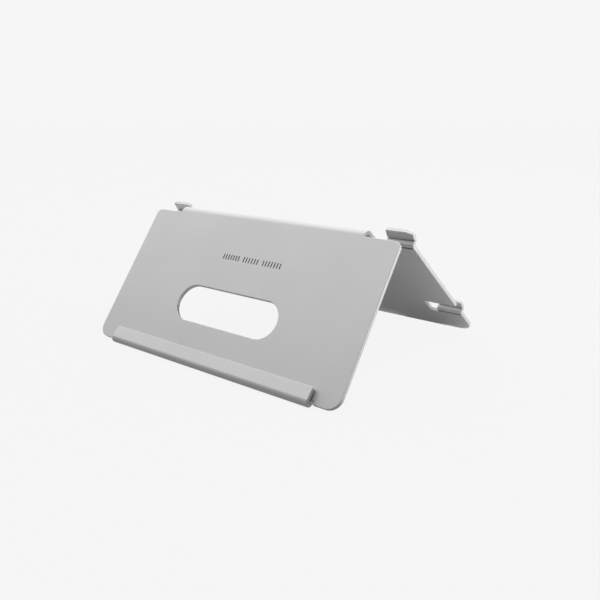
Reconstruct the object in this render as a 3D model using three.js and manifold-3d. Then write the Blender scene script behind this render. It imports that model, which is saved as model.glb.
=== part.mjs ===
// A desk stand bent from one sheet of aluminium: a sloping front panel with a cable slot and a
// hemmed lower edge, a ridge bend, and a longer rear panel with four hanging hooks.
// Four thin silicone feet under it keep the metal off the desk.
// Millimetres, X to the right along the ridge, Y to the back, Z up.

import * as THREE from 'three';
import { mergeVertices } from 'three/addons/utils/BufferGeometryUtils.js';
import Module from 'manifold-3d';

const wasm = await Module();
wasm.setup();

const rad = THREE.MathUtils.degToRad;

// Sheet
const thickness = 2;
const halfWidth = 75;
const frontSlope = rad( 53 );
const rearSlope = rad( 38.2 );

// Front panel, measured down its slope from its free top edge
const frontHeight = 74.6;
const topCornerRadius = 3;
const frontCornerRadius = 6.2;
const slotLength = 61.9;
const slotHeight = 18.2;
const slotDrop = 46.4;

// Ridge bend, shorter than the panels; it starts a little above the front panel's free top edge
const ridgeRadius = 4;
const ridgeRise = 0.64;
const ridgeLeft = - 57.2;
const ridgeRight = 56.4;

// Open hem along the lower edge of the front panel; its flange leans back towards the panel
const hemLean = rad( 7 );
const hemLeft = - 60.9;
const hemRight = 62.1;
const hemInnerRadius = 0.5;
const hemFlangeDrop = 67.9;
const hemReliefWidth = 1;
const hemReliefDepth = 1.7;

// Rear panel and its hooks; "run" is the distance down its slope from the ridge bend
const rearRun = 98.14;
const rearCornerRadius = 8;
const upperHookRun = 5.64;
const lowerHookRun = 75.34;
const hookLeft = 61.6;
const hookRight = halfWidth;
const hookPitch = 134.5;
const hookOffset = 3;
const hookLean = rad( 17 );
const hookTabLength = 4.2;
const hookBendRadius = 0.4;
const hookRootRadius = 1.5;
const hookTaper = 0.3;
const hookChamferX = 3.4;
const hookChamferDrop = 1;
const notchInner = 57.6;
const notchRun = 67.24;
const notchRelief = 3.3;

// Silicone feet
const footGap = 0.15;
const frontFootThickness = 0.45;
const frontFootStart = rad( 5.5 );
const frontFootEnd = rad( 50 );
const frontFootCentre = 42;
const frontFootLength = 26;
const rearFootInset = 0.55;
const rearFootCentre = 46;
const rearFootLength = 26;

const arcSegments = 10;
const cutMargin = 3;

const metal = new THREE.MeshStandardMaterial( { color: 0xc5c6c8, roughness: 0.45, metalness: 0.85 } );
const silicone = new THREE.MeshStandardMaterial( { color: 0x8d9093, roughness: 0.75, metalness: 0 } );

// The model is built in the front panel's own frame: X along the ridge, Y up its slope from the
// free top edge, Z out of its front face. The rear panel's frame has X, run and outward height.
const turn = frontSlope + rearSlope;
const ridgeCentre = new THREE.Vector2( ridgeRise, - ridgeRadius );
const rearDown = new THREE.Vector2( Math.cos( turn ), - Math.sin( turn ) );
const rearOut = new THREE.Vector2( Math.sin( turn ), Math.cos( turn ) );
const hemOuterRadius = hemInnerRadius + thickness;

function rearPoint( run, height ) {

	return ridgeCentre.clone()
		.addScaledVector( rearOut, ridgeRadius - thickness + height )
		.addScaledVector( rearDown, run );

}

// Height of the metal above the desk, and of the front panel's top edge and hem centre
const frontFootOuter = hemOuterRadius + footGap + frontFootThickness;
const standoff = frontFootOuter * Math.cos( frontFootStart ) - hemOuterRadius;
const rearEdge = rearPoint( rearRun, 0 );
const topEdgeZ = standoff - rearEdge.x * Math.sin( frontSlope ) - rearEdge.y * Math.cos( frontSlope );
const hemCentreZ = standoff + hemOuterRadius - topEdgeZ;
const hemCentreY = ( hemCentreZ - hemInnerRadius * Math.cos( frontSlope ) ) / Math.sin( frontSlope );
const rearFootReach = ( standoff + rearFootInset * Math.cos( rearSlope ) ) / Math.sin( rearSlope );

// Frames that a drawn shape is extruded in
const throughFront = new THREE.Matrix4();
const alongX = new THREE.Matrix4().makeBasis(
	new THREE.Vector3( 0, 1, 0 ), new THREE.Vector3( 0, 0, 1 ), new THREE.Vector3( 1, 0, 0 ) );
const rearOrigin = rearPoint( 0, 0 );
const throughRear = new THREE.Matrix4().makeBasis(
	new THREE.Vector3( 1, 0, 0 ), new THREE.Vector3( 0, rearDown.x, rearDown.y ),
	new THREE.Vector3( 0, rearOut.x, rearOut.y ) ).setPosition( 0, rearOrigin.x, rearOrigin.y );

function solid( geometry ) {

	geometry.deleteAttribute( 'normal' );
	geometry.deleteAttribute( 'uv' );
	const merged = mergeVertices( geometry, 1e-5 );
	return new wasm.Manifold( new wasm.Mesh( {
		numProp: 3,
		vertProperties: merged.attributes.position.array,
		triVerts: new Uint32Array( merged.index.array ),
	} ) );

}

function prism( shape, from, to, frame ) {

	const geometry = new THREE.ExtrudeGeometry( shape, {
		depth: to - from,
		bevelEnabled: false,
		curveSegments: arcSegments,
	} );
	geometry.translate( 0, 0, from ).applyMatrix4( frame );
	return solid( geometry );

}

function polygon( points ) {

	return new THREE.Shape( points.map( ( [ a, b ] ) => new THREE.Vector2( a, b ) ) );

}

function rectangle( left, bottom, right, top ) {

	return polygon( [ [ left, bottom ], [ right, bottom ], [ right, top ], [ left, top ] ] );

}

function mesh( name, body, material ) {

	const { numProp, vertProperties, triVerts } = body.getMesh();
	const geometry = new THREE.BufferGeometry();
	geometry.setAttribute( 'position', new THREE.BufferAttribute( vertProperties, numProp ) );
	geometry.setIndex( new THREE.BufferAttribute( triVerts, 1 ) );
	geometry.computeVertexNormals();
	const result = new THREE.Mesh( geometry, material );
	result.name = name;
	return result;

}

// Front panel: a flat plate with rounded corners and the oblong cable slot
function frontPlate() {

	const low = - frontHeight;
	const shape = new THREE.Shape();
	const corner = ( x, y, r, start ) => shape.absarc( x, y, r, start, start + Math.PI / 2 );
	corner( halfWidth - frontCornerRadius, low + frontCornerRadius, frontCornerRadius, - Math.PI / 2 );
	corner( halfWidth - topCornerRadius, - topCornerRadius, topCornerRadius, 0 );
	corner( - halfWidth + topCornerRadius, - topCornerRadius, topCornerRadius, Math.PI / 2 );
	corner( - halfWidth + frontCornerRadius, low + frontCornerRadius, frontCornerRadius, Math.PI );
	const slot = new THREE.Path();
	const slotEnd = ( slotLength - slotHeight ) / 2;
	slot.absarc( slotEnd, - slotDrop, slotHeight / 2, - Math.PI / 2, Math.PI / 2 );
	slot.absarc( - slotEnd, - slotDrop, slotHeight / 2, Math.PI / 2, 1.5 * Math.PI );
	shape.holes.push( slot );
	const relief = rectangle( hemLeft - hemReliefWidth, low - cutMargin,
		hemRight + hemReliefWidth, low + hemReliefDepth );
	return prism( shape, - thickness, 0, throughFront )
		.subtract( prism( relief, - thickness - cutMargin, cutMargin, throughFront ) );

}

// Hem: the sheet turned forward and up again under the front panel, with a narrow gap inside
function hem() {

	const start = hemCentreY + frontCornerRadius;
	const bendEnd = Math.PI / 2 - hemLean;
	const across = new THREE.Vector2( Math.cos( bendEnd ), Math.sin( bendEnd ) );
	const up = new THREE.Vector2( across.y, - across.x );
	const reach = ( - hemFlangeDrop - hemCentreY - hemOuterRadius * across.x ) / up.x;
	const tip = new THREE.Vector2( hemCentreY, hemInnerRadius ).addScaledVector( up, reach );
	const tipOuter = tip.clone().addScaledVector( across, hemOuterRadius );
	const tipInner = tip.clone().addScaledVector( across, hemInnerRadius );
	const shape = new THREE.Shape();
	shape.moveTo( start, - thickness );
	shape.absarc( hemCentreY, hemInnerRadius, hemOuterRadius, - Math.PI / 2, bendEnd - 2 * Math.PI, true );
	shape.lineTo( tipOuter.x, tipOuter.y );
	shape.lineTo( tipInner.x, tipInner.y );
	shape.absarc( hemCentreY, hemInnerRadius, hemInnerRadius, bendEnd, 1.5 * Math.PI );
	shape.lineTo( start, 0 );
	return prism( shape, hemLeft, hemRight, alongX );

}

// Ridge bend and rear panel, as one profile over the full width
function ridgeAndRear() {

	const endAngle = Math.PI / 2 - turn;
	const start = ridgeRise - frontCornerRadius;
	const outerEnd = rearPoint( rearRun, thickness );
	const innerEnd = rearPoint( rearRun, 0 );
	const shape = new THREE.Shape();
	shape.moveTo( start, 0 );
	shape.absarc( ridgeCentre.x, ridgeCentre.y, ridgeRadius, Math.PI / 2, endAngle, true );
	shape.lineTo( outerEnd.x, outerEnd.y );
	shape.lineTo( innerEnd.x, innerEnd.y );
	shape.absarc( ridgeCentre.x, ridgeCentre.y, ridgeRadius - thickness, endAngle, Math.PI / 2 );
	shape.lineTo( start, - thickness );
	return prism( shape, - halfWidth, halfWidth, alongX );

}

// What is cut away beside the ridge: the bend and the rear panel's top corners
function ridgeEndCut( from, to ) {

	const far = rearPoint( upperHookRun + hookRootRadius, ridgeRadius + cutMargin );
	const near = rearPoint( upperHookRun + hookRootRadius, - ridgeRadius );
	const atEdge = near.y + near.x / rearOut.x * ( - rearOut.y );
	return prism( polygon( [ [ 0, cutMargin ], [ far.x, cutMargin ], [ far.x, far.y ], [ 0, atEdge ] ] ),
		from, to, alongX );

}

function rearCut( left, fromRun, right, toRun ) {

	return prism( rectangle( left, fromRun, right, toRun ), - cutMargin, thickness + cutMargin, throughRear );

}

// A bottom corner of the rear panel, outside its rounding
function rearCornerCut( side ) {

	const x = side * ( halfWidth - rearCornerRadius );
	const run = rearRun - rearCornerRadius;
	const shape = new THREE.Shape();
	shape.moveTo( side * ( halfWidth + cutMargin ), run );
	shape.lineTo( side * ( halfWidth + cutMargin ), rearRun + cutMargin );
	shape.lineTo( x, rearRun + cutMargin );
	shape.absarc( x, run, rearCornerRadius, Math.PI / 2, side > 0 ? 0 : Math.PI, side > 0 );
	return prism( shape, - cutMargin, thickness + cutMargin, throughRear );

}

// Hook: a web standing out of the rear panel, and a tab on it that points up the slope and leans out
function hook( left, rootRun ) {

	const bendHeight = hookOffset - hookBendRadius;
	const bendEnd = Math.PI / 2 - hookLean;
	const across = new THREE.Vector2( Math.cos( bendEnd ), Math.sin( bendEnd ) );
	const tip = new THREE.Vector2( - across.y, across.x ).multiplyScalar( hookTabLength );
	tip.add( new THREE.Vector2( - hookBendRadius, bendHeight ) );
	const tipInner = tip.clone().addScaledVector( across, hookBendRadius );
	const tipOuter = tip.clone().addScaledVector( across, hookBendRadius + thickness );
	const settle = 0.05;
	const section = new THREE.Shape();
	section.moveTo( hookRootRadius + 1, settle * 2 );
	section.absarc( hookRootRadius, hookRootRadius + settle, hookRootRadius, - Math.PI / 2, Math.PI, true );
	section.absarc( - hookBendRadius, bendHeight, hookBendRadius, 0, bendEnd );
	section.lineTo( tipInner.x, tipInner.y );
	section.lineTo( tipOuter.x, tipOuter.y );
	section.absarc( - hookBendRadius, bendHeight, hookBendRadius + thickness, bendEnd, 0, true );
	section.lineTo( hookRootRadius + 1, thickness / 2 );
	const run = new THREE.Matrix4().makeTranslation( 0, rootRun, 0 ).premultiply( throughRear );
	const body = prism( section, left, left + hookRight - hookLeft, run.clone().multiply( alongX ) );
	const tab = new THREE.Matrix4().makeTranslation( 0, - hookBendRadius, bendHeight )
		.multiply( new THREE.Matrix4().makeRotationX( - hookLean ) ).premultiply( run );
	return hookCornerCuts( left ).reduce( ( rest, corner ) =>
		rest.subtract( prism( corner, - cutMargin, hookOffset + thickness + cutMargin, tab ) ), body );

}

// What is cut from a tab's two corners, drawn in its own plane with the tip at -hookTabLength
function hookCornerCuts( left ) {

	const right = left + hookRight - hookLeft;
	const tip = - hookTabLength;
	return [
		polygon( [ [ left - 1, 0 ], [ left - 1, tip - 1 ], [ left + hookTaper, tip - 1 ],
			[ left + hookTaper, tip ], [ left, 0 ] ] ),
		polygon( [ [ right - hookChamferX, tip - 1 ], [ right + 1, tip - 1 ],
			[ right + 1, tip + hookChamferDrop ], [ right, tip + hookChamferDrop ],
			[ right - hookChamferX, tip ] ] ),
	];

}

function standSheet() {

	const outside = halfWidth + cutMargin;
	const leftHook = hookLeft - hookPitch;
	const leftHookEnd = hookRight - hookPitch;
	const notchReach = hookLeft - notchInner;
	let body = ridgeAndRear();
	body = body.subtract( ridgeEndCut( - outside, ridgeLeft ) ).subtract( ridgeEndCut( ridgeRight, outside ) );
	body = body.subtract( rearCornerCut( - 1 ) ).subtract( rearCornerCut( 1 ) );

	const upperRelief = upperHookRun + notchRelief;
	const lowerRelief = lowerHookRun + notchRelief;
	const lowerRoot = lowerHookRun + hookRootRadius;
	const cuts = [
		[ ridgeRight, upperHookRun - notchRelief, hookLeft, upperRelief ],
		[ leftHookEnd, upperHookRun - notchRelief, ridgeLeft, upperRelief ],
		[ - outside, upperHookRun - notchRelief, leftHook, upperRelief ],
		[ notchInner, notchRun, outside, lowerRoot ],
		[ notchInner, notchRun, hookLeft, lowerRelief ],
		[ - outside, notchRun, leftHookEnd + notchReach, lowerRoot ],
		[ - outside, notchRun, leftHook, lowerRelief ],
		[ leftHookEnd, notchRun, leftHookEnd + notchReach, lowerRelief ],
	];
	for ( const cut of cuts ) body = body.subtract( rearCut( ...cut ) );
	body = body.add( frontPlate() ).add( hem() );
	for ( const left of [ leftHook, hookLeft ] ) {

		for ( const run of [ upperHookRun, lowerHookRun ] ) body = body.add( hook( left, run ) );

	}

	return mesh( 'stand_sheet', body, metal );

}

// Foot strip under the hem, on its rear underside
function frontFoot( name, centre ) {

	const down = Math.atan2( - Math.cos( frontSlope ), - Math.sin( frontSlope ) );
	const inner = hemOuterRadius + footGap;
	const shape = new THREE.Shape();
	shape.absarc( hemCentreY, hemInnerRadius, frontFootOuter,
		down + frontFootStart, down + frontFootEnd );
	shape.absarc( hemCentreY, hemInnerRadius, inner, down + frontFootEnd, down + frontFootStart, true );
	const body = prism( shape, centre - frontFootLength / 2, centre + frontFootLength / 2, alongX );
	return mesh( name, body, silicone );

}

// Foot strip on the lower end face of the rear panel
function rearFoot( name, centre ) {

	const shape = rectangle( centre - rearFootLength / 2, rearRun + footGap,
		centre + rearFootLength / 2, rearRun + rearFootReach );
	return mesh( name, prism( shape, rearFootInset, thickness, throughRear ), silicone );

}

const stand = new THREE.Group();
stand.add(
	standSheet(),
	frontFoot( 'front_foot_left', - frontFootCentre ),
	frontFoot( 'front_foot_right', frontFootCentre ),
	rearFoot( 'rear_foot_left', - rearFootCentre ),
	rearFoot( 'rear_foot_right', rearFootCentre ),
);
stand.rotation.x = frontSlope;

// The origin is on the desk, at the middle of the whole stand
const placed = new THREE.Group();
placed.add( stand );
const extent = new THREE.Box3().setFromObject( placed, true );
stand.position.set( 0, - ( extent.min.y + extent.max.y ) / 2, - extent.min.z );

export default placed;
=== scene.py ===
import math

import bmesh
import bpy
import numpy as np
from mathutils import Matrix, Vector


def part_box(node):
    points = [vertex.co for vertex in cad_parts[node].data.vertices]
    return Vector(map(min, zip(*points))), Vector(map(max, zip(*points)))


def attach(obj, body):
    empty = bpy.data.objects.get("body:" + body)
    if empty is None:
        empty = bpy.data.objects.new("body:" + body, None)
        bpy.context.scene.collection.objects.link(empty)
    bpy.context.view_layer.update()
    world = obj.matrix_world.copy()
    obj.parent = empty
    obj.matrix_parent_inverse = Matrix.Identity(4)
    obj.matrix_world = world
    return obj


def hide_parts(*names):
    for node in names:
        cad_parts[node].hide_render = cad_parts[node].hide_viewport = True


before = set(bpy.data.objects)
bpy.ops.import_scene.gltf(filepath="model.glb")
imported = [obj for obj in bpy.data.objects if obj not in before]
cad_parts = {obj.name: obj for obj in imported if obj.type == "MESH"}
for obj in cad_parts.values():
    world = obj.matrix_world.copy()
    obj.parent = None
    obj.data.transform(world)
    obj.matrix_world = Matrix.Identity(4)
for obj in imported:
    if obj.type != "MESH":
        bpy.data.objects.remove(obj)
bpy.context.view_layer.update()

# ---------------------------------------------------------------- dimensions, in millimetres
MM = 0.001
THICK = 2.0
HALF_WIDTH = 75.0
FRONT_SLOPE = math.radians(53.0)
REAR_SLOPE = math.radians(38.2)
TURN = FRONT_SLOPE + REAR_SLOPE

FRONT_HEIGHT = 74.6
FRONT_CORNER = 6.2
TOP_CORNER = 3.0
SLOT_LENGTH, SLOT_HEIGHT, SLOT_DROP = 61.9, 18.2, 46.4

RIDGE_RADIUS, RIDGE_RISE = 4.0, 0.64
RIDGE_LEFT, RIDGE_RIGHT = -57.2, 56.4

HEM_LEFT, HEM_RIGHT = -60.9, 62.1
HEM_RADIUS, HEM_FLANGE_DROP, HEM_LEAN = 0.5, 67.9, math.radians(7.0)
HEM_SLIT, HEM_SLIT_DEPTH = 1.0, 1.7

REAR_RUN, REAR_CORNER = 98.14, 8.0
UPPER_HOOK, LOWER_HOOK = 5.64, 75.34
HOOK_LEFT, HOOK_PITCH = 61.6, 134.5
HOOK_WIDTH = HALF_WIDTH - HOOK_LEFT
HOOK_LEAN, HOOK_GAP, HOOK_TAB = math.radians(17.0), 3.0, 4.2
HOOK_BEND, HOOK_ROOT, HOOK_CREASE = 0.4, 1.5, 0.2
HOOK_TAPER, HOOK_CHAMFER_X, HOOK_CHAMFER_Y = 0.3, 3.4, 1.0
HOOK_SCORE = 0.60
# where the painted shade strip at each hook's root starts and ends, along the rear panel from the root
ROOT_SHADE_RUN = (1.35, 2.40)
NOTCH_INNER, NOTCH_RUN, NOTCH_RELIEF = 57.6, 67.24, 3.3

EDGE = 0.30          # how far the sheet's cut edges are rounded over
EDGE_STEPS = 5
SMALL = 0.55         # plan radius of the sharp-looking corners

FOOT_GAP, FRONT_FOOT = 0.15, 0.45
FRONT_FOOT_ARC = math.radians(5.5), math.radians(50)     # from straight down, round the hem
FRONT_FOOT_BENDS = 12
REAR_FOOT_INSET = 0.55

# ---------------------------------------------------------------- the fold
# The sheet is drawn flat in (x, s): s is the distance along it from the tip of the hem, over the
# front panel and the ridge, to the rear foot. A fold line is a list of stations that say where the
# sheet's outer and inner faces are at each s, in the front panel's frame: y up its slope from its
# free top edge, z out of its front face.

low = np.array(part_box("stand_sheet")[0]) / MM
COS, SIN = math.cos(FRONT_SLOPE), math.sin(FRONT_SLOPE)
HEM_OUTER = HEM_RADIUS + THICK
RIDGE_CENTRE = np.array([RIDGE_RISE, -RIDGE_RADIUS])
REAR_DOWN = np.array([math.cos(TURN), -math.sin(TURN)])
REAR_OUT = np.array([math.sin(TURN), math.cos(TURN)])


def rear_point(run, height):
    return RIDGE_CENTRE + REAR_OUT * (RIDGE_RADIUS - THICK + height) + REAR_DOWN * run


# The hem reaches as low as the rear panel's inner lower edge, which sets where the hem's centre is.
# Both then stand at the bottom of the sheet's CAD box, and the hem is at its front.
REAR_EDGE = rear_point(REAR_RUN, 0.0)
LOWEST = REAR_EDGE[0] * SIN + REAR_EDGE[1] * COS
HEM_Y = (LOWEST + HEM_OUTER - HEM_RADIUS * COS) / SIN
ORIGIN_Y = low[1] + HEM_OUTER - (HEM_Y * COS - HEM_RADIUS * SIN)
ORIGIN_Z = low[2] - LOWEST


def to_row(x, y, z):
    """A point of the front panel's frame, in metres in the row frame."""
    return Vector((x, y * COS - z * SIN + ORIGIN_Y, y * SIN + z * COS + ORIGIN_Z)) * MM


def turned(x, y, z):
    """The same for a direction."""
    return Vector((x, y * COS - z * SIN, y * SIN + z * COS)).normalized()


class Fold:
    """Stations along one strip of the sheet."""

    def __init__(self):
        self.rows = []

    def add(self, s, outer, inner, angle, inner_angle=None):
        self.rows.append([s, *outer, *inner, angle, angle if inner_angle is None else inner_angle])

    def lines(self):
        return [r[0] for r in self.rows]

    def at(self, s, depth):
        """Position and normal axes at distance s and depth (0 outer face, 1 inner face)."""
        table = np.array(self.rows)
        v = [np.interp(s, table[:, 0], table[:, k]) for k in range(1, 7)]
        first, last = table[0], table[-1]
        point = np.array(v[0:2]) * (1 - depth) + np.array(v[2:4]) * depth
        angle = v[4] * (1 - depth) + v[5] * depth
        along = np.array([math.cos(angle), math.sin(angle)])
        if s < first[0]:
            point = point + along * (s - first[0])
        if s > last[0]:
            point = point + along * (s - last[0])
        return point, along, np.array([-along[1], along[0]])


HEM_FLAT = (-HEM_FLANGE_DROP - HEM_Y - HEM_OUTER * math.sin(HEM_LEAN)) / math.cos(HEM_LEAN)
HEM_ARC = (math.pi + HEM_LEAN) * (HEM_RADIUS + THICK / 2)
S_FRONT = HEM_FLAT + HEM_ARC
S_RIDGE = S_FRONT + RIDGE_RISE - HEM_Y
S_REAR = S_RIDGE + TURN * (RIDGE_RADIUS - THICK / 2)
FULL = 2 * math.pi
HEM_STEPS, RIDGE_STEPS = 24, 20


def front_s(y):
    return S_FRONT + y - HEM_Y


def rear_s(run):
    return S_REAR + run


def main_fold():
    fold = Fold()
    centre = np.array([HEM_Y, HEM_RADIUS])
    for k in range(-1, HEM_STEPS + 1):
        a = (math.pi + HEM_LEAN) * max(k, 0) / HEM_STEPS - HEM_LEAN
        way = np.array([-math.sin(a), math.cos(a)])
        tip = HEM_FLAT * np.array([math.cos(a), math.sin(a)]) if k < 0 else 0
        fold.add(HEM_FLAT + HEM_ARC * k / HEM_STEPS if k >= 0 else 0.0,
                 centre + way * HEM_RADIUS + tip, centre + way * HEM_OUTER + tip, math.pi + a)
    for k in range(RIDGE_STEPS + 1):
        a = TURN * k / RIDGE_STEPS
        way = np.array([math.sin(a), math.cos(a)])
        fold.add(S_RIDGE + (S_REAR - S_RIDGE) * k / RIDGE_STEPS, RIDGE_CENTRE + way * RIDGE_RADIUS,
                 RIDGE_CENTRE + way * (RIDGE_RADIUS - THICK), FULL - a)
    fold.add(rear_s(REAR_RUN), rear_point(REAR_RUN, THICK), rear_point(REAR_RUN, 0), FULL - TURN)
    return fold


def plane_fold():
    """The front panel's plane, for its lower corners beside the hem."""
    fold = Fold()
    for y in (HEM_Y - 5, 5):
        fold.add(front_s(y), (y, 0), (y, -THICK), 0.0)
    return fold


HOOK_STEPS = 12
HOOK_PARTS = (HOOK_TAB, 0.8, 0.5, 0.8, 1.1)     # tab, its bend, web, root bend, start of the panel
HOOK_END = THICK + HOOK_CREASE + 0.3
TAB_LENGTH, BEND_LENGTH, WEB_LENGTH, ROOT_LENGTH, START_LENGTH = HOOK_PARTS


def hook_tip_s(root):
    return rear_s(root + HOOK_END) - sum(HOOK_PARTS)


def hook_fold(root):
    """From the tab's tip, down the web, to the rear panel. The tab is scored inside its bend."""
    lean, centre = HOOK_LEAN, np.array([-HOOK_BEND, HOOK_GAP - HOOK_BEND])
    crease = THICK + HOOK_CREASE
    path = []

    def add(s, outer, inner, turn):
        path.append((s, np.array(outer, float), np.array(inner, float), turn))

    def score(u):
        return HOOK_SCORE * math.sin(math.pi * u) ** 2

    s = hook_tip_s(root)
    across = np.array([math.sin(lean), math.cos(lean)])
    tip = centre + HOOK_TAB * np.array([-across[1], across[0]])
    add(s, tip + across * (HOOK_BEND + THICK), tip + across * HOOK_BEND, lean)
    s += TAB_LENGTH
    for k in range(HOOK_STEPS + 1):
        u = k / HOOK_STEPS
        a = lean + (math.pi / 2 - lean) * u
        across = np.array([math.sin(a), math.cos(a)])
        add(s + BEND_LENGTH * u, centre + across * (HOOK_BEND + THICK),
            centre + across * (HOOK_BEND + score(u)), a)
    s += BEND_LENGTH + WEB_LENGTH
    for k in range(HOOK_STEPS + 1):
        u = k / HOOK_STEPS
        a = math.pi / 2 * u
        add(s + ROOT_LENGTH * u,
            (crease - HOOK_CREASE * math.cos(a), crease - HOOK_CREASE * math.sin(a)),
            (HOOK_ROOT - HOOK_ROOT * math.cos(a), HOOK_ROOT - HOOK_ROOT * math.sin(a)),
            math.pi / 2 - a)
    s += ROOT_LENGTH
    add(s + START_LENGTH, (HOOK_END, THICK), (HOOK_END, 0.0), 0.0)

    fold = Fold()
    for k, (s, outer, inner, turn) in enumerate(path):
        before, after = path[max(k - 1, 0)][2], path[min(k + 1, len(path) - 1)][2]
        way = after - before
        fold.add(s, rear_point(root + outer[0], outer[1]), rear_point(root + inner[0], inner[1]),
                 FULL - TURN - turn, FULL - TURN + math.atan2(way[1], way[0]))
    return fold


MAIN, PLANE = main_fold(), plane_fold()
HOOKS = {root: hook_fold(root) for root in (UPPER_HOOK, LOWER_HOOK)}


def fold_for(x, s):
    """Which strip of the sheet the flat point (x, s) belongs to."""
    if s < S_FRONT + 1e-6 and not HEM_LEFT - HEM_SLIT / 2 < x < HEM_RIGHT + HEM_SLIT / 2:
        return PLANE
    for root, fold in HOOKS.items():
        if hook_tip_s(root) - 0.2 < s < rear_s(root + HOOK_END):
            for left in (HOOK_LEFT, HOOK_LEFT - HOOK_PITCH):
                if left - 0.2 < x < left + HOOK_WIDTH + 0.2:
                    return fold
    return MAIN


# ---------------------------------------------------------------- flat outlines
def outline(corners, step=math.radians(9)):
    """A closed counter-clockwise outline with rounded corners, as points with outward normals."""
    made = []
    count = len(corners)
    for k in range(count):
        before, here, after = (np.array(corners[(k + d) % count][:2], float) for d in (-1, 0, 1))
        radius = corners[k][2]
        come, leave = here - before, after - here
        come, leave = come / np.linalg.norm(come), leave / np.linalg.norm(leave)
        bend = math.atan2(come[0] * leave[1] - come[1] * leave[0], come @ leave)
        start = here - come * radius * math.tan(abs(bend) / 2)
        side = 1.0 if bend > 0 else -1.0
        centre = start + side * radius * np.array([-come[1], come[0]])
        pieces = max(2, math.ceil(abs(bend) / step))
        for i in range(pieces + 1):
            a = math.atan2(come[1], come[0]) - math.pi / 2 + bend * i / pieces
            normal = np.array([math.cos(a), math.sin(a)])
            made.append((centre + side * radius * normal, normal))
    return made


def reversed_hole(points):
    """A hole's outline: the material is outside it."""
    return [(p, -n) for p, n in reversed(points)]


def hook_corners(left, root):
    """The outline round one hook's tab, from its left side to its right."""
    tip, right = hook_tip_s(root), left + HOOK_WIDTH
    return [(left, tip + HOOK_TAB, 1.5), (left + HOOK_TAPER, tip, SMALL),
            (right - HOOK_CHAMFER_X, tip, 1.0), (right, tip + HOOK_CHAMFER_Y, SMALL)]


def sheet_outline():
    left_hook = HOOK_LEFT - HOOK_PITCH
    left_end = left_hook + HOOK_WIDTH
    reach = HOOK_LEFT - NOTCH_INNER
    bottom, slit_top = front_s(-FRONT_HEIGHT), front_s(-FRONT_HEIGHT + HEM_SLIT_DEPTH)
    ear = front_s(0.0)
    upper = rear_s(UPPER_HOOK + NOTCH_RELIEF)
    lower = rear_s(LOWER_HOOK + NOTCH_RELIEF)
    notch, foot = rear_s(NOTCH_RUN), rear_s(REAR_RUN)
    tight = 0.45
    return outline([
        (HEM_LEFT, 0, 1.0), (HEM_RIGHT, 0, 1.0),
        (HEM_RIGHT, slit_top, tight), (HEM_RIGHT + HEM_SLIT, slit_top, tight),
        (HEM_RIGHT + HEM_SLIT, bottom, SMALL), (HALF_WIDTH, bottom, FRONT_CORNER),
        (HALF_WIDTH, ear, TOP_CORNER), (RIDGE_RIGHT, ear, SMALL),
        (RIDGE_RIGHT, upper, SMALL), (HOOK_LEFT, upper, SMALL),
        *hook_corners(HOOK_LEFT, UPPER_HOOK),
        (HALF_WIDTH, notch, SMALL), (NOTCH_INNER, notch, SMALL),
        (NOTCH_INNER, lower, SMALL), (HOOK_LEFT, lower, SMALL),
        *hook_corners(HOOK_LEFT, LOWER_HOOK),
        (HALF_WIDTH, foot, REAR_CORNER), (-HALF_WIDTH, foot, REAR_CORNER),
        (-HALF_WIDTH, lower, SMALL), (left_hook, lower, SMALL),
        *hook_corners(left_hook, LOWER_HOOK),
        (left_end, lower, SMALL), (left_end + reach, lower, SMALL),
        (left_end + reach, notch, SMALL), (-HALF_WIDTH, notch, SMALL),
        (-HALF_WIDTH, upper, SMALL), (left_hook, upper, SMALL),
        *hook_corners(left_hook, UPPER_HOOK),
        (left_end, upper, SMALL), (RIDGE_LEFT, upper, SMALL),
        (RIDGE_LEFT, ear, SMALL), (-HALF_WIDTH, ear, TOP_CORNER),
        (-HALF_WIDTH, bottom, FRONT_CORNER), (HEM_LEFT - HEM_SLIT, bottom, SMALL),
        (HEM_LEFT - HEM_SLIT, slit_top, tight), (HEM_LEFT, slit_top, tight),
    ])


def slot_outline():
    middle, half, radius = front_s(-SLOT_DROP), SLOT_LENGTH / 2, SLOT_HEIGHT / 2
    return reversed_hole(outline([
        (-half, middle - radius, radius - 1e-4), (half, middle - radius, radius - 1e-4),
        (half, middle + radius, radius - 1e-4), (-half, middle + radius, radius - 1e-4),
    ], math.radians(4)))


# ---------------------------------------------------------------- plates
def flat_plate(loops, thickness, edge, steps):
    """A plate with rounded-over edges, lying in (x, s, -depth), with its normals kept in a layer."""
    bm = bmesh.new()
    layer = bm.verts.layers.float_vector.new("flat_normal")
    rims = {0: [], 1: []}
    for points in loops:
        rings = []
        for side in (0, 1):
            for k in (range(steps + 1) if side == 0 else range(steps, -1, -1)):
                a = math.pi / 2 * k / steps
                inset, drop = edge * (1 - math.sin(a)), edge * (1 - math.cos(a))
                depth = drop if side == 0 else thickness - drop
                up = math.cos(a) * (1 if side == 0 else -1)
                ring = []
                for p, n in points:
                    vert = bm.verts.new((*(p - n * inset), -depth))
                    vert[layer] = (n[0] * math.sin(a), n[1] * math.sin(a), up)
                    ring.append(vert)
                rings.append(ring)
        count = len(points)
        for upper, lower in zip(rings, rings[1:]):
            for i in range(count):
                j = (i + 1) % count
                bm.faces.new((upper[i], lower[i], lower[j], upper[j]))
        for side, ring in ((0, rings[0]), (1, rings[-1])):
            rims[side] += [bm.edges.get((ring[i], ring[(i + 1) % count])) for i in range(count)]
    for side in (0, 1):
        bmesh.ops.triangle_fill(bm, use_beauty=True, use_dissolve=False, edges=rims[side],
                                normal=(0, 0, 1 if side == 0 else -1))
    bmesh.ops.recalc_face_normals(bm, faces=bm.faces[:])
    return bm, layer


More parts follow.
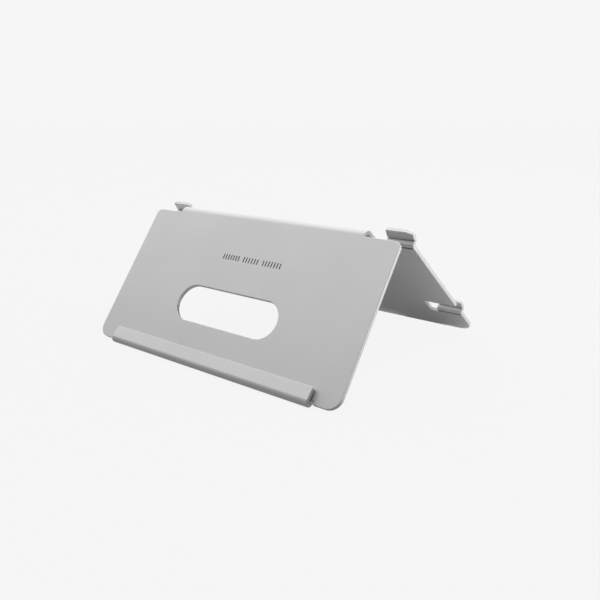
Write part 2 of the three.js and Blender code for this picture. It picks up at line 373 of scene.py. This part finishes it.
def cut_lines(bm, lines, axis):
    """Cuts the flat plate along lines of constant x or s, so that it can bend there."""
    normal = Vector((1, 0, 0)) if axis == 0 else Vector((0, 1, 0))
    for value in lines:
        bmesh.ops.bisect_plane(bm, geom=bm.verts[:] + bm.edges[:] + bm.faces[:], dist=1e-5,
                               plane_co=normal * value, plane_no=normal)


def folded(name, bm, layer, place, material):
    """Turns the flat plate into an object; place says where each flat point and normal goes."""
    bm.verts.ensure_lookup_table()
    normals = []
    for vert in bm.verts:
        position, normal = place(vert.co.copy(), vert[layer].copy())
        vert.co = position
        normals.append(normal)
    mesh = bpy.data.meshes.new(name)
    bm.to_mesh(mesh)
    bm.free()
    for polygon in mesh.polygons:
        polygon.use_smooth = True
    mesh.normals_split_custom_set_from_vertices(normals)
    mesh.materials.append(material)
    made = bpy.data.objects.new(name, mesh)
    bpy.context.scene.collection.objects.link(made)
    return made


def place_sheet(flat, normal):
    x, s, depth = flat.x, flat.y, -flat.z / THICK
    point, along, out = fold_for(x, s).at(s, depth)
    n = along * normal.y + out * normal.z
    return to_row(x, *point), turned(normal.x, *n)


def stand_sheet(material):
    bm, layer = flat_plate([sheet_outline(), slot_outline()], THICK, EDGE, EDGE_STEPS)
    lines = set(MAIN.lines()[1:-1])
    for fold in HOOKS.values():
        lines |= set(fold.lines()[1:])
    cut_lines(bm, sorted(lines), 1)
    made = folded("stand_sheet_look", bm, layer, place_sheet, material)
    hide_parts("stand_sheet")
    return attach(made, "root")


# ---------------------------------------------------------------- feet
def strip_outline(left, right, bottom, top, radius):
    return outline([(left, bottom, radius), (right, bottom, radius),
                    (right, top, radius), (left, top, radius)])


def front_foot(node, material):
    """A thin strip that wraps the underside of the hem."""
    lo, hi = (np.array(v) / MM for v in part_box(node))
    outer = HEM_OUTER + FOOT_GAP + FRONT_FOOT
    down = math.atan2(-COS, -SIN)
    start, end = (down + a for a in FRONT_FOOT_ARC)
    length = outer * (end - start)
    bm, layer = flat_plate([strip_outline(lo[0], hi[0], 0, length, 0.6)], FRONT_FOOT, 0.16, 4)
    cut_lines(bm, [length * k / FRONT_FOOT_BENDS for k in range(1, FRONT_FOOT_BENDS)], 1)

    def place(flat, normal):
        a = start + flat.y / outer
        out = np.array([math.cos(a), math.sin(a)])
        along = np.array([-out[1], out[0]])
        point = np.array([HEM_Y, HEM_RADIUS]) + out * (outer + flat.z)
        n = along * normal.y + out * normal.z
        return to_row(flat.x, *point), turned(normal.x, *n)

    return finish_foot(node, bm, layer, place, material)


def rear_foot(node, material):
    """A thin strip on the lower end face of the rear panel."""
    lo, hi = (np.array(v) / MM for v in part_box(node))
    reach = (low[2] + REAR_FOOT_INSET * math.cos(REAR_SLOPE)) / math.sin(REAR_SLOPE)
    strip = strip_outline(lo[0], hi[0], REAR_FOOT_INSET, THICK, 0.5)
    bm, layer = flat_plate([strip], reach - FOOT_GAP, 0.14, 4)

    def place(flat, normal):
        point = rear_point(REAR_RUN + reach + flat.z, flat.y)
        n = REAR_OUT * normal.y + REAR_DOWN * normal.z
        return to_row(flat.x, *point), turned(normal.x, *n)

    return finish_foot(node, bm, layer, place, material)


def finish_foot(node, bm, layer, place, material):
    """Both feet's folds mirror the flat strip, so its faces are turned back outwards."""
    bmesh.ops.reverse_faces(bm, faces=bm.faces[:])
    made = folded(node + "_look", bm, layer, place, material)
    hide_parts(node)
    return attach(made, "root")


# ---------------------------------------------------------------- marks on the front panel
MARK_TOP, MARK_HEIGHT, MARK_STROKE = -18.85, 2.75, 0.55
MARK_GROUPS = ((-15.0, -4.9, 7), (-2.2, 6.9, 6), (9.9, 20.6, 7))
# how far the printed marks and the painted shade strips at the hook roots stand proud of the sheet and
# sink into it
STRIP_PROUD, STRIP_SUNK = 0.03, 0.2


def thin_object(name, blocks, material):
    """Joins closed blocks, each given as its front and its back outline, into one object."""
    bm = bmesh.new()
    for rings in blocks:
        front, back = ([bm.verts.new(p) for p in ring] for ring in rings)
        bm.faces.new(front)
        bm.faces.new(back[::-1])
        for i in range(len(front)):
            j = (i + 1) % len(front)
            bm.faces.new((front[i], back[i], back[j], front[j]))
    bmesh.ops.recalc_face_normals(bm, faces=bm.faces[:])
    mesh = bpy.data.meshes.new(name)
    bm.to_mesh(mesh)
    bm.free()
    mesh.materials.append(material)
    made = bpy.data.objects.new(name, mesh)
    bpy.context.scene.collection.objects.link(made)
    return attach(made, "root")


def marks(material):
    """Three groups of plain strokes, printed on the panel above the slot. They spell nothing."""
    blocks = []
    for left, right, count in MARK_GROUPS:
        pitch = (right - left - MARK_STROKE) / (count - 1)
        for k in range(count):
            x = left + pitch * k
            points = strip_outline(x, x + MARK_STROKE, MARK_TOP - MARK_HEIGHT, MARK_TOP, 0.12)
            blocks.append([[to_row(*p, z) for p, _ in points] for z in (STRIP_PROUD, -STRIP_SUNK)])
    return thin_object("front_marks", blocks, material)


def painted_root_shade(material):
    """Painted shade: a dark strip across the inner face at the root of each hook's bend, where the
    crease is shaded.
    """
    blocks = []
    for root in (UPPER_HOOK, LOWER_HOOK):
        for left in (HOOK_LEFT, HOOK_LEFT - HOOK_PITCH):
            sides = (left + 0.4, left + HOOK_WIDTH - 0.4)
            corners = [(x, root + run) for x, run in zip(sides + sides[::-1], np.repeat(ROOT_SHADE_RUN, 2))]
            blocks.append([[to_row(x, *rear_point(run, height)) for x, run in corners]
                           for height in (-STRIP_PROUD, STRIP_SUNK)])
    return thin_object("hook_root_painted_shade", blocks, material)


# ---------------------------------------------------------------- materials
def new_material(name):
    material = bpy.data.materials.new(name)
    material.use_nodes = True
    nodes, links = material.node_tree.nodes, material.node_tree.links
    shader = nodes["Principled BSDF"]
    place = nodes.new("ShaderNodeTexCoord").outputs["Object"]
    return nodes, links, shader, place, material


def noise(nodes, links, coordinate, scale, detail, roughness=0.5):
    made = nodes.new("ShaderNodeTexNoise")
    made.inputs["Scale"].default_value = scale
    made.inputs["Detail"].default_value = detail
    made.inputs["Roughness"].default_value = roughness
    links.new(coordinate, made.inputs["Vector"])
    return made.outputs["Fac"]


def ramp(nodes, links, source, stops):
    made = nodes.new("ShaderNodeValToRGB")
    first, last = made.color_ramp.elements[0], made.color_ramp.elements[-1]
    first.position, first.color = stops[0][0], (*stops[0][1], 1)
    last.position, last.color = stops[1][0], (*stops[1][1], 1)
    links.new(source, made.inputs["Fac"])
    return made.outputs["Color"]


def spread(nodes, links, source, low_value, high_value):
    made = nodes.new("ShaderNodeMapRange")
    made.inputs["From Min"].default_value = 0.3
    made.inputs["From Max"].default_value = 0.7
    made.inputs["To Min"].default_value = low_value
    made.inputs["To Max"].default_value = high_value
    links.new(source, made.inputs["Value"])
    return made.outputs["Result"]


def bump(nodes, links, source, strength, distance, shader):
    made = nodes.new("ShaderNodeBump")
    made.inputs["Strength"].default_value = strength
    made.inputs["Distance"].default_value = distance
    links.new(source, made.inputs["Height"])
    links.new(made.outputs["Normal"], shader.inputs["Normal"])


def satin_aluminium():
    """Bead-blasted, clear-anodised aluminium: a fine even grain with very slight clouding."""
    nodes, links, shader, place, material = new_material("satin_aluminium")
    cloud = noise(nodes, links, place, 22.0, 3.0)
    grain = noise(nodes, links, place, 3200.0, 3.0, 0.6)
    colour = ramp(nodes, links, cloud, [(0.3, (0.640, 0.642, 0.647)), (0.7, (0.672, 0.674, 0.679))])
    links.new(colour, shader.inputs["Base Color"])
    links.new(spread(nodes, links, grain, 0.46, 0.56), shader.inputs["Roughness"])
    shader.inputs["Metallic"].default_value = 0.9
    bump(nodes, links, grain, 0.22, 0.00003, shader)
    return material


def silicone():
    nodes, links, shader, place, material = new_material("silicone")
    grain = noise(nodes, links, place, 900.0, 3.0)
    colour = ramp(nodes, links, grain, [(0.3, (0.150, 0.153, 0.158)), (0.7, (0.185, 0.188, 0.193))])
    links.new(colour, shader.inputs["Base Color"])
    links.new(spread(nodes, links, grain, 0.62, 0.74), shader.inputs["Roughness"])
    bump(nodes, links, grain, 0.2, 0.00004, shader)
    return material


# dark ink for the printed marks; the same material also paints the shade in the creases at the hook
# roots
def print_and_painted_shade_ink():
    nodes, links, shader, place, material = new_material("print_and_painted_shade_ink")
    grain = noise(nodes, links, place, 4000.0, 2.0)
    colour = ramp(nodes, links, grain, [(0.3, (0.026, 0.026, 0.027)), (0.7, (0.038, 0.038, 0.039))])
    links.new(colour, shader.inputs["Base Color"])
    links.new(spread(nodes, links, grain, 0.5, 0.62), shader.inputs["Roughness"])
    return material


# ---------------------------------------------------------------- object
# the dark material serves both the printed marks and the painted shade at the hook roots
metal, rubber, print_and_shade_ink = satin_aluminium(), silicone(), print_and_painted_shade_ink()
stand_sheet(metal)
for side in ("left", "right"):
    front_foot("front_foot_" + side, rubber)
    rear_foot("rear_foot_" + side, rubber)
marks(print_and_shade_ink)
# painted shade: dark strips in the shaded crease at each hook's root
painted_root_shade(print_and_shade_ink)

# ---------------------------------------------------------------- floor, light and camera
scene = bpy.context.scene
scene.view_settings.view_transform = "Standard"
CAMERA_SENSOR, CAMERA_LENS = 36.0, 38.7
CAMERA_PLACE = (201.54, -230.23 + ORIGIN_Y, 113.07)
CAMERA_TILT, CAMERA_TURN = 16.400, 37.916        # degrees below level, and to the left of +Y
BACKGROUND = 0.9216
GLOW, FLOOR_WHITE = 0.897, 0.02
CARD_WHITE, CARD_GLOW, CARD_RADIUS, CARD_Y = 0.67, 0.10, 0.45, 0.387
SKY = (-0.52, 0.60, 0.78)
SKY_STOPS = ((0.0, 0.26), (0.32, 0.30), (0.50, 0.38), (0.64, 0.52),
             (0.77, 1.12), (0.88, 1.33), (1.0, 1.40))
LIGHT_TARGET = (0, 0, 0.03)


def disc(name, radius, z, white, glow_strength):
    mesh = bpy.data.meshes.new(name)
    bm = bmesh.new()
    bmesh.ops.create_circle(bm, cap_ends=True, segments=96, radius=radius)
    bm.to_mesh(mesh)
    bm.free()
    made = bpy.data.objects.new(name, mesh)
    made.location = (0, 0, z)
    scene.collection.objects.link(made)
    material = bpy.data.materials.new(name)
    material.use_nodes = True
    nodes, links = material.node_tree.nodes, material.node_tree.links
    nodes.clear()
    diffuse, glow = nodes.new("ShaderNodeBsdfDiffuse"), nodes.new("ShaderNodeEmission")
    both, end = nodes.new("ShaderNodeAddShader"), nodes.new("ShaderNodeOutputMaterial")
    diffuse.inputs["Color"].default_value = (white, white, white, 1)
    glow.inputs["Color"].default_value = (1, 1, 1, 1)
    glow.inputs["Strength"].default_value = glow_strength
    links.new(diffuse.outputs[0], both.inputs[0])
    links.new(glow.outputs[0], both.inputs[1])
    links.new(both.outputs[0], end.inputs["Surface"])
    made.data.materials.append(material)
    return made


def studio_floor():
    """A pale floor that the camera sees, with a faint shadow on it."""
    floor = disc("floor", 6.0, 0, FLOOR_WHITE, GLOW)
    floor.visible_diffuse = False
    floor.visible_glossy = False
    floor.visible_shadow = False


def bounce_card():
    """A grey card under the stand, which only the metal sees: it is darker where the stand shades it."""
    card = disc("bounce_card", CARD_RADIUS, -0.0004, CARD_WHITE, CARD_GLOW)
    card.location.y = CARD_Y
    card.visible_camera = False


def studio_world():
    """An even pale ground for the camera; for the light, brightest up behind the stand."""
    world = bpy.data.worlds.new("studio")
    world.use_nodes = True
    scene.world = world
    nodes, links = world.node_tree.nodes, world.node_tree.links
    nodes.clear()
    coordinate, toward = nodes.new("ShaderNodeTexCoord"), nodes.new("ShaderNodeVectorMath")
    span, shade = nodes.new("ShaderNodeMapRange"), nodes.new("ShaderNodeValToRGB")
    toward.operation = "DOT_PRODUCT"
    toward.inputs[1].default_value = Vector(SKY).normalized()
    span.inputs["From Min"].default_value = -1
    links.new(coordinate.outputs["Generated"], toward.inputs[0])
    links.new(toward.outputs["Value"], span.inputs["Value"])
    links.new(span.outputs["Result"], shade.inputs["Fac"])
    elements = shade.color_ramp.elements
    for k, (position, value) in enumerate((SKY_STOPS[0], SKY_STOPS[-1])):
        elements[k].position, elements[k].color = position, (value, value, value, 1)
    for position, value in SKY_STOPS[1:-1]:
        elements.new(position).color = (value, value, value, 1)
    lit, seen = nodes.new("ShaderNodeBackground"), nodes.new("ShaderNodeBackground")
    links.new(shade.outputs["Color"], lit.inputs["Color"])
    seen.inputs["Color"].default_value = (BACKGROUND, BACKGROUND, BACKGROUND, 1)
    path, choose = nodes.new("ShaderNodeLightPath"), nodes.new("ShaderNodeMixShader")
    end = nodes.new("ShaderNodeOutputWorld")
    links.new(path.outputs["Is Camera Ray"], choose.inputs[0])
    links.new(lit.outputs[0], choose.inputs[1])
    links.new(seen.outputs[0], choose.inputs[2])
    links.new(choose.outputs[0], end.inputs["Surface"])


def softbox(name, location, size, power):
    light = bpy.data.lights.new(name, "AREA")
    light.shape, light.size, light.energy = "SQUARE", size, power
    made = bpy.data.objects.new(name, light)
    scene.collection.objects.link(made)
    made.location = location
    made.rotation_mode = "QUATERNION"
    made.rotation_quaternion = (Vector(LIGHT_TARGET) - Vector(location)).to_track_quat("-Z", "Y")


def camera():
    """The photograph's view, placed from the front panel's free top edge."""
    data = bpy.data.cameras.new("camera")
    data.sensor_width, data.lens = CAMERA_SENSOR, CAMERA_LENS
    data.clip_start, data.clip_end = 0.01, 60.0
    made = bpy.data.objects.new("camera", data)
    scene.collection.objects.link(made)
    made.location = Vector(CAMERA_PLACE) * MM
    made.rotation_euler = (math.radians(90 - CAMERA_TILT), 0, math.radians(CAMERA_TURN))
    scene.camera = made


studio_floor()
bounce_card()
studio_world()
softbox("top", (0.1, 0.45, 1.0), 0.9, 2.0)
softbox("right", (0.9, 0.6, 0.25), 0.6, 4.0)
camera()
